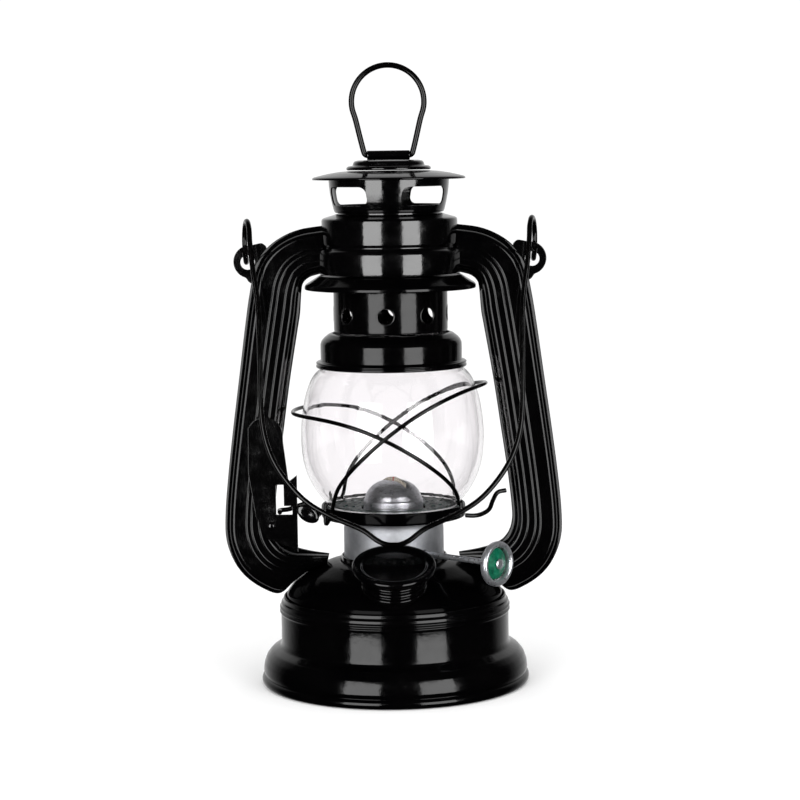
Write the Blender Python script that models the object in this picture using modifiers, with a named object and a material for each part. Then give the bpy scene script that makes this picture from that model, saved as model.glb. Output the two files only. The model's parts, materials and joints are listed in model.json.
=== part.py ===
"""Barn lantern: a small pressed-steel hurricane lantern, as separate pieces.

Frame: metres, +Z up, -Y is the front (filler cap and hanging bail), +X is the
side with the wick knob. The origin is the centre of the foot, on the ground.
"""

import bmesh
import bpy
from math import cos, pi, radians, sin, sqrt, tan
from mathutils import Matrix, Vector

MM = 0.001

# Driving dimensions, in millimetres.
TURN_STEPS = 28            # facets round a large turned piece
FINE_STEPS = 16            # facets round a small turned piece
TOUCH = 0.3                # clearance between pieces that touch
FOOT_R = 60.1
TANK_R = 51.1
TANK_RIM_Z = 39.2
BURNER_R = 22.4
GALLERY_R = 32.2
GALLERY_TOP_Z = 80.0
GLOBE_R = 40.7
GLOBE_MID_Z = 110.5
GLOBE_WALL = 1.6
COLLAR_R = 31.4
CHIMNEY_R = 25.3
VENT_HOLE_R = 3.85
VENT_HOLE_Z = 165.0
VENT_TURN = radians(-5.0)  # the vents and windows sit a little off the front
HOOD_R = 31.6
CANOPY_R = 33.9
BARREL_Z = 234.6
BARREL_R = 2.1
RING_WIRE_R = 1.2
EYE_X = 62.9
EYE_TURN = radians(11)     # the eyes' far sides stand outward
EYE_STEP = 2.3             # the wire's end passes outside the leg
EYE_Z = 197.4
EYE_R = 9.1
BAIL_WIRE_R = 1.05
BAIL_LEAN = radians(16.3)  # how far forward of straight down the bail hangs
LUG_CENTRE = (61.9, 188.6)
LUG_R = 7.3
LUG_HOLE = (62.9, 188.3)
LUG_HOLE_R = 3.2
GUARD_WIRE_R = 0.75
TUBE_DEPTH = 8.3           # half the depth of a side tube
CAP_CENTRE = (0.0, -41.0, 59.0)
CAP_TILT = radians(19.0)
CAP_R = 18.3
NECK_R = 13.0
KNOB_AIM = radians(-41.8)  # direction of the wick spindle in plan
SPINDLE_Z = 60.0
SPINDLE_R = 1.25
SPINDLE_OFFSET = -4.6      # from the wick's plane to the spindle
KNOB_REACH = 64.0
KNOB_R = 9.8
WICK_WIDTH = 14.4
WICK_THICK = 1.5


# ---------------------------------------------------------------- scene helpers

for old in list(bpy.data.objects):
    bpy.data.objects.remove(old, do_unlink=True)

parts = bpy.data.collections.new("barn_lantern")
cutters = bpy.data.collections.new("cutters")
bpy.context.scene.collection.children.link(parts)
bpy.context.scene.collection.children.link(cutters)


def make_material(name, colour, roughness, metallic=0.0, transmission=0.0):
    material = bpy.data.materials.new(name)
    material.use_nodes = True
    shader = material.node_tree.nodes["Principled BSDF"]
    shader.inputs["Base Color"].default_value = (*colour, 1.0)
    shader.inputs["Roughness"].default_value = roughness
    shader.inputs["Metallic"].default_value = metallic
    shader.inputs["Transmission Weight"].default_value = transmission
    return material


enamel = make_material("black_enamel", (0.006, 0.006, 0.007), 0.18)
silver = make_material("silver_metal", (0.62, 0.63, 0.65), 0.34, metallic=0.9)
green = make_material("green_enamel", (0.0, 0.07, 0.04), 0.3)
plate_green = make_material("dark_green_plate", (0.01, 0.03, 0.025), 0.4, metallic=0.3)
glass = make_material("clear_glass", (0.98, 0.97, 0.97), 0.03, transmission=1.0)
cotton = make_material("cotton_wick", (0.7, 0.62, 0.5), 0.9)
cork = make_material("cork_gasket", (0.36, 0.22, 0.12), 0.85)


def add_object(name, data, material, collection=parts):
    obj = bpy.data.objects.new(name, data)
    collection.objects.link(obj)
    if material:
        data.materials.append(material)
    return obj


def scaled(points):
    return [Vector(p) * MM for p in points]


def turned(name, profile, material, steps=TURN_STEPS, closed=True, collection=parts):
    """A turned piece. profile is (radius, z) in mm and runs down the outer side.

    A closed profile is a ring with its own inner side. An open one starts and
    ends on the axis.
    """
    points = [(r * MM, 0.0, z * MM) for r, z in profile]
    edges = [(i, i + 1) for i in range(len(points) - 1)]
    if closed:
        edges.append((len(points) - 1, 0))
    mesh = bpy.data.meshes.new(name)
    mesh.from_pydata(points, edges, [])
    obj = add_object(name, mesh, material, collection)
    screw = obj.modifiers.new("turn", "SCREW")
    screw.steps = steps
    screw.render_steps = steps
    screw.use_merge_vertices = True
    screw.merge_threshold = 0.00001
    screw.use_smooth_shade = True
    return obj


def wire(name, points, radius, material, cyclic=False, sides=2):
    """A round wire along points in mm."""
    curve = bpy.data.curves.new(name, "CURVE")
    curve.dimensions = "3D"
    curve.bevel_depth = radius * MM
    curve.bevel_resolution = sides
    curve.use_fill_caps = not cyclic
    spline = curve.splines.new("POLY")
    spline.points.add(len(points) - 1)
    for target, point in zip(spline.points, scaled(points)):
        target.co = (*point, 1.0)
    spline.use_cyclic_u = cyclic
    return add_object(name, curve, material)


def flat_plate(name, outline, thickness, front_y, material, holes=()):
    """A flat plate in the X-Z plane. Its front face is at y = front_y (mm)."""
    curve = bpy.data.curves.new(name, "CURVE")
    curve.dimensions = "2D"
    curve.fill_mode = "BOTH"
    curve.extrude = thickness / 2 * MM
    for loop in (outline, *holes):
        spline = curve.splines.new("POLY")
        spline.points.add(len(loop) - 1)
        for target, (x, z) in zip(spline.points, loop):
            target.co = (x * MM, z * MM, 0.0, 1.0)
        spline.use_cyclic_u = True
    obj = add_object(name, curve, material)
    obj.rotation_euler = (pi / 2, 0.0, 0.0)
    obj.location = (0.0, (front_y + thickness / 2) * MM, 0.0)
    return obj


def circle(centre, radius, count=16):
    cx, cz = centre
    return [(cx + radius * cos(2 * pi * i / count), cz + radius * sin(2 * pi * i / count))
            for i in range(count)]


def smooth_path(points, per_span=4):
    """Catmull-Rom points through the given ones."""
    pts = [Vector(p) for p in points]
    ends = [2 * pts[0] - pts[1], *pts, 2 * pts[-1] - pts[-2]]
    path = []
    for a, b, c, d in zip(ends, ends[1:], ends[2:], ends[3:]):
        for k in range(per_span):
            t = k / per_span
            path.append(0.5 * (2 * b + (c - a) * t + (2 * a - 5 * b + 4 * c - d) * t * t
                               + (3 * b - a - 3 * c + d) * t ** 3))
    path.append(pts[-1])
    return path


def box(name, size, centre, collection=parts, material=None, bevel=0.0):
    """A box, its edges rounded by bevel (mm)."""
    mesh = bpy.data.meshes.new(name)
    shape = bmesh.new()
    bmesh.ops.create_cube(shape, size=1.0)
    bmesh.ops.scale(shape, vec=Vector(size) * MM, verts=shape.verts)
    shape.to_mesh(mesh)
    shape.free()
    obj = add_object(name, mesh, material, collection)
    obj.location = Vector(centre) * MM
    if bevel:
        rounding = obj.modifiers.new("rounding", "BEVEL")
        rounding.width = bevel * MM
        rounding.segments = 2
    return obj


def cylinder(name, radius, length, collection=parts, material=None, segments=FINE_STEPS):
    """A cylinder along its own Z, centred on its origin."""
    mesh = bpy.data.meshes.new(name)
    shape = bmesh.new()
    bmesh.ops.create_cone(shape, cap_ends=True, segments=segments, radius1=radius * MM,
                          radius2=radius * MM, depth=length * MM)
    shape.to_mesh(mesh)
    shape.free()
    return add_object(name, mesh, material, collection)


def as_cutter(obj):
    obj.hide_render = True
    obj.display_type = "WIRE"
    return obj


def cut(target, cutter):
    boolean = target.modifiers.new("cut_" + cutter.name, "BOOLEAN")
    boolean.operation = "DIFFERENCE"
    boolean.solver = "EXACT"
    boolean.object = as_cutter(cutter)


def interpolate(table, z):
    """Linear look-up of a radius in a (radius, z) table sorted by rising z."""
    for (r0, z0), (r1, z1) in zip(table, table[1:]):
        if z <= z1:
            return r0 + (r1 - r0) * max(0.0, z - z0) / (z1 - z0)
    return table[-1][0]


# ---------------------------------------------------------------- tank

def build_tank():
    turned("tank_shell", [
        (49.2, TANK_RIM_Z), (49.9, 38.6), (49.9, 37.2), (TANK_R, 36.2), (TANK_R, 34.8),
        (51.7, 34.0), (TANK_R, 33.2), (TANK_R, 18.5), (51.6, 16.9), (53.2, 16.0), (55.8, 14.6), (57.9, 12.2),
        (59.1, 9.0), (59.2, 4.2), (FOOT_R, 1.8),
        (59.7, 0.5), (59.0, 0.0), (57.4, 0.0), (57.2, 4.6),
        (56.4, 11.4), (54.8, 13.4), (51.6, 15.0), (50.2, 17.2), (50.2, 35.8),
        (48.9, 37.0), (48.9, 38.9)], enamel)
    turned("tank_bottom", [
        (0.0, 6.2), (48.0, 6.2), (52.5, 4.4), (56.8, 4.4), (56.8, 3.4), (52.2, 3.4),
        (47.6, 5.3), (0.0, 5.3)], enamel, closed=False)
    top = turned("tank_top", [
        (24.0, 54.8), (30.0, 53.6), (38.0, 50.2), (45.0, 45.0), (48.4, 40.4),
        (48.4, 37.4), (47.5, 37.4), (47.5, 40.0), (44.2, 44.3), (37.6, 49.3),
        (29.8, 52.7), (24.0, 53.9)], enamel)
    throat = cylinder("throat_cutter", 8.6, 40.0, cutters)
    throat.matrix_world = filler_frame()
    cut(top, throat)


def filler_frame():
    """The filler's own axes: origin at the cap's top centre, Z along its axis."""
    return Matrix.Translation(Vector(CAP_CENTRE) * MM) @ Matrix.Rotation(CAP_TILT, 4, "X")


def build_filler():
    neck_profile = [(NECK_R, -3.4)]
    for rib in range(3):
        rib_z = -5.2 - 2.7 * rib
        neck_profile += [(NECK_R, rib_z + 0.9), (NECK_R + 1.3, rib_z), (NECK_R, rib_z - 0.9)]
    neck_profile += [(NECK_R, -22.0), (9.2, -22.0), (9.2, -3.4)]
    neck = turned("filler_neck", neck_profile, enamel, steps=24)
    neck.matrix_world = filler_frame()
    dome = turned("dome_cutter", [
        (0.0, 55.6), (24.0, 55.3), (30.0, 54.1), (38.0, 50.7), (45.4, 45.4),
        (49.2, 40.4), (51.6, 39.9), (52.6, 39.0), (52.6, 20.0), (0.0, 20.0)],
        None, closed=False, collection=cutters)
    cut(neck, dome)
    gasket = turned("cap_gasket", [(13.4, -2.5), (13.4, -3.1), (9.2, -3.1), (9.2, -2.5)],
                    cork, steps=24)
    gasket.matrix_world = filler_frame()
    cap = turned("filler_cap", [
        (0.0, 0.2), (13.6, 0.2), (14.6, 0.9), (17.4, 0.9), (CAP_R, 0.1), (CAP_R, -1.4),
        (17.4, -2.2), (8.7, -2.2), (8.7, -8.0), (0.0, -8.0)], enamel, steps=24, closed=False)
    cap.matrix_world = filler_frame()


# ---------------------------------------------------------------- burner

def wick_frame(z=0.0, along=0.0, across=0.0):
    """Axes of the wick: X along the spindle, Y across the wick's plane."""
    turn = Matrix.Rotation(KNOB_AIM, 4, "Z")
    return turn @ Matrix.Translation(Vector((along, across, z)) * MM)


def spindle_frame(along=0.0):
    """The spindle's axes: Z along the spindle, outwards."""
    return wick_frame(SPINDLE_Z, along, SPINDLE_OFFSET) @ Matrix.Rotation(pi / 2, 4, "Y")


def build_burner():
    turned("burner_seat", [(23.7, 57.0), (23.7, 50.5), (22.9, 50.5), (22.9, 57.0)], enamel)
    body = turned("burner_body", [
        (19.2, 74.0), (20.6, 73.6), (21.9, 71.8), (BURNER_R, 69.5), (BURNER_R, 51.0),
        (21.6, 51.0), (21.6, 69.3), (21.1, 71.4), (20.0, 72.9), (18.6, 73.2)], silver)
    port = cylinder("spindle_port_cutter", SPINDLE_R + 0.45, 20.0, cutters)
    port.matrix_world = spindle_frame(22.0)
    cut(body, port)
    turned("burner_deck", [(19.2, 75.3), (19.2, 74.3), (9.4, 74.3), (9.4, 75.3)], silver)
    dome = turned("burner_dome", [
        (2.6, 90.9), (6.2, 90.1), (9.4, 88.4), (11.8, 85.8), (12.8, 83.0), (13.4, 82.2),
        (13.4, 75.6), (12.6, 75.6), (12.6, 81.8), (12.0, 82.8), (11.0, 85.4), (8.9, 87.6),
        (5.9, 89.2), (2.6, 90.0)], silver, steps=24)
    slot = box("wick_slot_cutter", (WICK_WIDTH + 3.4, 3.2, 9.0), (0.0, 0.0, 0.0), cutters)
    slot.matrix_world = wick_frame(92.0)
    cut(dome, slot)
    tube = box("wick_tube", (WICK_WIDTH + 2.2, 3.6, 32.0), (0.0, 0.0, 0.0), parts, silver, bevel=0.6)
    tube.matrix_world = wick_frame(70.0)
    bore = box("wick_bore_cutter", (WICK_WIDTH + 0.8, WICK_THICK + 0.7, 60.0), (0.0, 0.0, 0.0), cutters)
    bore.matrix_world = wick_frame(71.0)
    cut(tube, bore)
    wheel_slot = box("wheel_slot_cutter", (12.0, 3.0, 8.6), (0.0, 0.0, 0.0), cutters)
    wheel_slot.matrix_world = wick_frame(SPINDLE_Z, 0.0, -2.2)
    cut(tube, wheel_slot)
    wick = box("wick", (WICK_WIDTH, WICK_THICK, 78.0), (0.0, 0.0, 0.0), parts, cotton)
    wick.matrix_world = wick_frame(51.2)


def build_wick_knob():
    spindle = cylinder("wick_spindle", SPINDLE_R, KNOB_REACH + 4.2, parts, silver, segments=12)
    spindle.matrix_world = spindle_frame((KNOB_REACH - 6.2) / 2)
    for index, along in enumerate((-3.4, 3.4)):
        wheel = turned(f"spur_wheel_{index + 1}", [
            (3.3, 0.5), (3.3, -0.5), (SPINDLE_R + TOUCH, -0.5), (SPINDLE_R + TOUCH, 0.5)],
            silver, steps=12)
        wheel.matrix_world = spindle_frame(along)
    disc = turned("knob_disc", [
        (1.6, 0.4), (2.6, 0.2), (6.4, -0.9), (6.9, -1.5), (6.9, -2.1), (1.6, -1.6)],
        green, steps=24)
    disc.matrix_world = spindle_frame(KNOB_REACH)
    rim = turned("knob_rim", [
        (8.4, 1.2), (9.4, 0.8), (KNOB_R, 0.0), (KNOB_R, -1.6), (9.2, -2.4), (7.3, -2.2),
        (7.3, 0.6)], silver, steps=24)
    rim.matrix_world = spindle_frame(KNOB_REACH)
    hub = turned("knob_hub", [(0.0, 1.4), (1.9, 1.2), (2.3, 0.75), (0.0, 0.75)],
                 silver, steps=12, closed=False)
    hub.matrix_world = spindle_frame(KNOB_REACH)


# ---------------------------------------------------------------- frame

# Right side tube, as pairs of (x, z) on its inner and outer edge and its half depth.
TUBE_STATIONS = [
    ((28.2, 183.4), (27.0, 204.4), 8.3), ((35.6, 181.5), (39.5, 202.6), 8.3),
    ((38.5, 178.9), (48.0, 199.2), 8.3), ((39.3, 175.6), (54.8, 194.0), 8.3),
    ((39.7, 171.0), (59.6, 186.5), 8.3), ((40.2, 165.0), (62.4, 174.0), 8.3),
    ((41.4, 158.0), (64.6, 160.0), 8.3), ((45.2, 135.6), (67.6, 138.0), 8.3),
    ((48.6, 112.0), (71.0, 113.5), 8.3), ((51.4, 92.0), (73.6, 92.5), 8.3),
    ((52.8, 79.0), (75.1, 76.0), 8.3), ((53.0, 72.5), (74.9, 64.5), 8.3),
    ((51.8, 67.4), (71.6, 54.6), 8.3), ((49.2, 63.6), (66.2, 47.3), 8.2),
    ((46.2, 61.6), (58.6, 42.2), 8.0), ((43.6, 60.5), (51.8, 40.6), 7.8),
    ((40.4, 59.6), (46.2, 46.4), 7.2), ((35.8, 58.6), (38.8, 51.4), 6.2),
    ((29.4, 57.6), (30.4, 54.9), 4.6)]

# Section of one half: (position across the tube, -1 to 1; depth, 0 to 1).
HALF_SECTION = [
    (-1.0, 0.02), (-1.0, 0.12), (-0.84, 0.12), (-0.68, 0.80), (0.0, 1.0), (0.68, 0.80),
    (0.84, 0.12), (1.0, 0.12), (1.0, 0.02), (0.75, 0.02), (0.61, 0.70), (0.0, 0.88),
    (-0.61, 0.70), (-0.75, 0.02)]


def build_tube_half(name, side, face):
    """One pressed half of a side tube: side is +1 right, face is -1 front."""
    shape = bmesh.new()
    rings = []
    for inner, outer, depth in TUBE_STATIONS:
        ring = []
        for across, out in HALF_SECTION:
            t = (across + 1.0) / 2.0
            x = inner[0] + (outer[0] - inner[0]) * t
            z = inner[1] + (outer[1] - inner[1]) * t
            y = face * (out * depth)
            ring.append(shape.verts.new(Vector((side * x, y, z)) * MM))
        rings.append(ring)
    count = len(HALF_SECTION)
    for low, high in zip(rings, rings[1:]):
        for i in range(count):
            j = (i + 1) % count
            shape.faces.new((low[i], low[j], high[j], high[i]))
    shape.faces.new(rings[0])
    shape.faces.new(list(reversed(rings[-1])))
    bmesh.ops.recalc_face_normals(shape, faces=shape.faces)
    bmesh.ops.triangulate(shape, faces=shape.faces, quad_method="SHORT_EDGE")
    mesh = bpy.data.meshes.new(name)
    shape.to_mesh(mesh)
    shape.free()
    return add_object(name, mesh, enamel)


def build_lug(name, side):
    """Flat ear for the bail, on the seam outside the tube's shoulder."""
    arc = [(LUG_CENTRE[0] + LUG_R * cos(a), LUG_CENTRE[1] + LUG_R * sin(a))
           for a in [radians(95 - 17 * i) for i in range(11)]]
    outline = ([(55.7, 195.2), (56.4, 196.9), (59.4, 196.3)] + arc
               + [(62.8, 180.1), (61.9, 179.3), (61.5, 182.6), (59.4, 187.6), (57.2, 192.2)])
    flat_plate(name, [(side * x, z) for x, z in outline], 1.2, -0.6, enamel,
               holes=[circle((side * LUG_HOLE[0], LUG_HOLE[1]), LUG_HOLE_R, 14)])


def build_catch_bracket():
    """Plate on the left tube with the L-shaped slot of the globe lever."""
    top = [(-56.3 + 7.9 * cos(a), 112.4 + 7.9 * sin(a))
           for a in [radians(160 - 20 * i) for i in range(9)]]
    outline = top + [(-48.3, 109.0), (-46.2, 91.6), (-42.5, 94.4), (-42.5, 60.0),
                     (-47.0, 62.6), (-56.0, 66.0), (-61.0, 76.0), (-64.0, 96.0)]
    slot = [(-51.9, 76.8), (-51.9, 90.2), (-48.5, 90.2), (-48.5, 80.7), (-44.8, 80.7),
            (-44.8, 76.8)]
    flat_plate("catch_bracket", outline, 1.0, -TUBE_DEPTH - TOUCH - 1.0, enamel, holes=[slot])
    rivet = turned("catch_rivet", [(0.0, 0.9), (1.1, 0.7), (1.8, 0.0), (0.0, 0.0)],
                   enamel, steps=12, closed=False)
    rivet.rotation_euler = (pi / 2, 0.0, 0.0)
    rivet.location = Vector((-54.2, -TUBE_DEPTH - 2 * TOUCH - 1.0, 71.8)) * MM


def build_frame():
    # The tubes' upper ends are cut to stand just clear of the hood's wall.
    clearance = turned("hood_clearance", [
        (0.0, 212.0), (HOOD_R - 1.3, 212.0), (HOOD_R - 1.3, 195.2), (HOOD_R + TOUCH, 193.2),
        (HOOD_R + TOUCH, 180.0), (0.0, 180.0)], enamel, closed=False, collection=cutters)
    for side_name, side in (("left", -1), ("right", 1)):
        cut(build_tube_half(f"side_tube_{side_name}_front", side, -1), clearance)
        cut(build_tube_half(f"side_tube_{side_name}_back", side, 1), clearance)
        build_lug(f"bail_lug_{side_name}", side)
    build_catch_bracket()
    turned("hood", [
        (23.4, 209.2), (24.4, 208.8), (28.9, 207.4), (30.0, 206.1), (30.0, 195.7),
        (29.5, 194.8), (30.0, 193.9), (31.3, 193.0), (HOOD_R, 188.0), (31.3, 182.7),
        (30.5, 182.7), (30.8, 188.0), (30.5, 192.4), (28.9, 193.5), (28.6, 194.9),
        (29.2, 196.2), (29.2, 205.7), (28.4, 206.7), (24.2, 208.0), (23.4, 208.5)], enamel)
    turned("hood_skirt", [
        (31.0, 182.3), (32.2, 181.6), (35.9, 179.2), (38.0, 177.6), (38.0, 176.0),
        (37.3, 176.0), (37.2, 177.0), (35.4, 178.3), (31.8, 180.7), (31.0, 181.3)], enamel)


# ---------------------------------------------------------------- globe and gallery

GLOBE_OUTLINE = [
    (29.6, 79.6), (29.6, 80.6), (31.9, 83.2), (35.6, 88.5), (38.6, 95.0), (40.2, 102.0),
    (GLOBE_R, GLOBE_MID_Z), (40.3, 118.0), (39.0, 126.5), (36.9, 133.5), (34.8, 137.6),
    (32.3, 140.2), (29.6, 142.2), (27.2, 143.8), (25.6, 146.0), (25.5, 150.2)]


def guard_path(mirror, standoff, height, lift, bow, back_drop, tip_r):
    """A guard wire: up from one side's feet, round the globe and back down.

    height, lift and bow give the wire's height over the globe as a parabola in
    x; tip_r is its reach at the high end.
    """
    foot_r = GALLERY_R + TOUCH + GUARD_WIRE_R
    loop = []
    for step in range(33):
        turn = radians(-154 + 308 * step / 32)
        x_rough = GLOBE_R * cos(turn)
        y_rough = GLOBE_R * sin(turn)
        z = height + lift * x_rough - bow * x_rough ** 2 - back_drop * y_rough
        clear = interpolate(GLOBE_OUTLINE, min(z, GLOBE_MID_Z)) + standoff
        reach = tip_r - clear
        radius = clear + reach * max(0.0, cos(turn)) ** 3
        loop.append((radius * cos(turn), radius * sin(turn), z))
    start, end = loop[0], loop[-1]
    feet = []
    for foot in (start, end):
        scale = foot_r / sqrt(foot[0] ** 2 + foot[1] ** 2)
        feet.append((foot[0] * scale, foot[1] * scale))
    path = ([(*feet[0], 75.6), (*feet[0], 79.6), (*feet[0], 82.0)] + loop
            + [(*feet[1], 82.0), (*feet[1], 79.6), (*feet[1], 75.6)])
    return [(mirror * x, y, z) for x, y, z in path]


def build_thumb_tab():
    """Oval thumb piece, dished from flat plate, in front of the lever."""
    mesh = bpy.data.meshes.new("thumb_tab")
    shape = bmesh.new()
    bmesh.ops.create_uvsphere(shape, u_segments=16, v_segments=8, radius=1.0)
    bmesh.ops.scale(shape, vec=Vector((5.4, 1.1, 3.5)) * MM, verts=shape.verts)
    shape.to_mesh(mesh)
    shape.free()
    tab = add_object("thumb_tab", mesh, enamel)
    tab.rotation_euler = (0.0, radians(34.0), 0.0)
    tab.location = Vector((-37.8, -10.8, 77.2)) * MM


def build_gallery():
    wall = GLOBE_OUTLINE[:1] + GLOBE_OUTLINE[2:-1:2] + GLOBE_OUTLINE[-1:]
    inner = [(r - GLOBE_WALL, z) for r, z in wall]
    turned("glass_globe", list(reversed(GLOBE_OUTLINE)) + inner, glass)
    turned("gallery_ring", [(GALLERY_R, GALLERY_TOP_Z), (GALLERY_R, 74.4), (31.2, 74.4),
                            (31.2, 77.2), (26.0, 77.2), (26.0, 78.0), (30.0, 78.2),
                            (30.2, GALLERY_TOP_Z)], enamel)
    turned("gallery_plate", [(29.4, 79.2), (29.4, 78.5), (14.4, 78.5), (14.4, 79.2)],
           plate_green)
    wire("guard_wire_a", guard_path(1, 3.6, 113.8, 0.83, 0.0085, 0.065, 41.8),
         GUARD_WIRE_R, enamel, sides=1)
    wire("guard_wire_b", guard_path(-1, 1.6, 111.6, 0.55, 0.0075, 0.0, 44.2),
         GUARD_WIRE_R, enamel, sides=1)
    wire("stay_arm", smooth_path([
        (32.0, -10.6, 75.6), (35.6, -9.4, 75.2), (39.2, -7.6, 75.6), (42.6, -5.4, 77.4),
        (44.4, -3.0, 81.0), (46.6, -1.0, 84.2), (50.4, 0.0, 85.0)], 3), 1.0, enamel)
    wire("thumb_lever", smooth_path([
        (-32.4, -9.2, 76.2), (-35.0, -8.0, 78.6), (-38.6, -6.6, 81.0), (-42.4, -6.4, 80.2),
        (-46.4, -6.4, 78.8), (-50.2, -6.6, 78.4), (-50.2, -9.0, 78.4), (-50.2, -12.4, 78.4)],
        3), 1.05, enamel)
    build_thumb_tab()


# ---------------------------------------------------------------- chimney

def build_chimney():
    turned("globe_collar", [
        (26.0, 156.8), (28.5, 155.6), (30.8, 153.2), (COLLAR_R, 151.4), (COLLAR_R, 144.2),
        (33.0, 143.8), (33.6, 142.8), (33.4, 141.5), (32.7, 141.3), (32.2, 142.4),
        (30.7, 143.2), (30.7, 151.1), (30.1, 152.5), (28.1, 154.7), (26.0, 155.9)], enamel)
    chimney = turned("lower_chimney", [
        (CHIMNEY_R, 178.4), (CHIMNEY_R, 157.1), (24.5, 157.1), (24.5, 178.4)], enamel)
    for index in range(4):
        hole = cylinder(f"vent_cutter_{index + 1}", VENT_HOLE_R, 80.0, cutters, segments=12)
        hole.matrix_world = (Matrix.Translation((0.0, 0.0, VENT_HOLE_Z * MM))
                             @ Matrix.Rotation(VENT_TURN + index * pi / 4, 4, "Z")
                             @ Matrix.Rotation(pi / 2, 4, "X"))
        cut(chimney, hole)
    turned("chimney_flue", [(22.7, 211.6), (22.7, 171.0), (22.0, 171.0), (22.0, 211.6)], enamel)
    crown = turned("vent_crown", [
        (26.6, 225.2), (26.4, 221.5), (25.4, 214.5), (24.4, 210.6), (24.0, 209.6),
        (23.2, 209.6), (23.6, 210.9), (24.6, 214.6), (25.6, 221.6), (25.8, 225.2)], enamel)
    for index in range(2):
        bar = box(f"window_cutter_{index + 1}", (24.4, 70.0, 8.1), (0.0, 0.0, 0.0), cutters,
                  bevel=2.4)
        bar.matrix_world = (Matrix.Translation((0.0, 0.0, 217.0 * MM))
                            @ Matrix.Rotation(VENT_TURN + pi / 4 + index * pi / 2, 4, "Z"))
        cut(crown, bar)
    turned("canopy", [
        (18.4, 227.9), (25.0, 227.1), (33.0, 225.4), (CANOPY_R, 224.7), (33.6, 223.9),
        (32.6, 224.4), (27.6, 225.6), (25.0, 226.2), (18.4, 227.0)], enamel)
    turned("crown_cap", [
        (0.0, 232.1), (13.5, 231.9), (15.6, 231.2), (15.8, 230.2), (18.3, 229.7),
        (18.8, 228.7), (18.2, 228.2), (0.0, 228.2)], enamel, closed=False)
    barrel = turned("ring_barrel", [
        (BARREL_R, 9.4), (BARREL_R, -9.4), (1.5, -9.4), (1.5, 9.4)], enamel, steps=FINE_STEPS)
    barrel.rotation_euler = (0.0, pi / 2, 0.0)
    barrel.location = (0.0, 0.0, BARREL_Z * MM)


# ---------------------------------------------------------------- handles

def build_top_ring():
    """Omega-shaped wire. Its ends turn into the barrel."""
    crown_z, crown_r = 258.0 - BARREL_Z, 15.9
    half = [(5.2, 0.0, 0.0), (8.8, 0.0, 0.0), (10.2, 0.0, 0.5), (10.9, 0.0, 2.0),
            (12.4, 0.0, 8.0), (14.2, 0.0, 15.6)]
    arch = [(crown_r * cos(a), 0.0, crown_z + crown_r * sin(a))
            for a in [radians(-12 + 12 * i) for i in range(18)]]
    left = [(-x, y, z) for x, y, z in reversed(half)]
    ring = wire("top_ring", half + arch + left, RING_WIRE_R, enamel)
    ring.location = (0.0, 0.0, BARREL_Z * MM)


def bail_point(x, drop):
    """A point of the bail, relative to the eyes' centre line: drop is along the leg."""
    attach = pi / 2 + BAIL_LEAN
    y = -EYE_R * sin(attach) - drop * sin(BAIL_LEAN)
    z = -EYE_R * cos(attach) - drop * cos(BAIL_LEAN)
    return (x, y, z)


def build_bail():
    """Carrying handle: one wire from eye to eye."""
    first = 90 + 16.3
    last = 424
    eye = []
    for i in range(21):
        a = last - (last - first) * i / 20
        passing = max(0.0, (a - 340) / (last - 340))
        eye.append((EYE_X - EYE_R * tan(EYE_TURN) * sin(radians(a)) + EYE_STEP * passing,
                    -EYE_R * sin(radians(a)), -EYE_R * cos(radians(a))))
    leg = smooth_path([
        bail_point(61.1, 3.0), bail_point(60.0, 14.0), bail_point(57.6, 32.0),
        bail_point(56.8, 58.0), bail_point(56.2, 80.0), bail_point(53.4, 94.0),
        bail_point(47.6, 105.5), bail_point(38.0, 116.6), bail_point(27.0, 123.6),
        bail_point(14.0, 129.4), bail_point(7.0, 134.4), bail_point(3.0, 136.2),
        bail_point(0.0, 136.4)], 3)
    right = eye[:-1] + [tuple(p) for p in leg]
    left = [(-x, y, z) for x, y, z in reversed(right[:-1])]
    bail = wire("bail", right + left, BAIL_WIRE_R, enamel, sides=1)
    bail.location = (0.0, 0.0, EYE_Z * MM)


build_tank()
build_filler()
build_burner()
build_wick_knob()
build_frame()
build_gallery()
build_chimney()
build_top_ring()
build_bail()
bpy.context.view_layer.update()
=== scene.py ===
"""Barn lantern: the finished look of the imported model, with studio light and camera.

Every visible piece is modelled again here at full fineness, in the place of its
CAD node. Lengths in the profiles and paths are in millimetres.
"""

import json
from math import cos, pi, radians, sin, sqrt, tan

import bmesh
import bpy
from mathutils import Matrix, Vector


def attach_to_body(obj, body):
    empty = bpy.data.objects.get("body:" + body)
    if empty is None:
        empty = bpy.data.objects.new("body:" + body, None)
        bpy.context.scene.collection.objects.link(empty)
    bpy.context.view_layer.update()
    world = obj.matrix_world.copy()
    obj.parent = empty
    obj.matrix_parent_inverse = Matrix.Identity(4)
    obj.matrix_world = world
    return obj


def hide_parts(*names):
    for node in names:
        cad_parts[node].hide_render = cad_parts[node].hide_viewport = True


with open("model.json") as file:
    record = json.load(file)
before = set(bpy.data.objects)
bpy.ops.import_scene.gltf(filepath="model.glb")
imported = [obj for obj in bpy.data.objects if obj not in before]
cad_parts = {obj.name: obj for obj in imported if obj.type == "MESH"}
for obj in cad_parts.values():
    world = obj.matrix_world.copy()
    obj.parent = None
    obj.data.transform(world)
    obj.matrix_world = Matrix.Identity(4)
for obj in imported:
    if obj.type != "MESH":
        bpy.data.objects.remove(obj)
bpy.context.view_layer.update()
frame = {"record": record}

MM = 0.001                 # one millimetre, in Blender's metres

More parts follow.
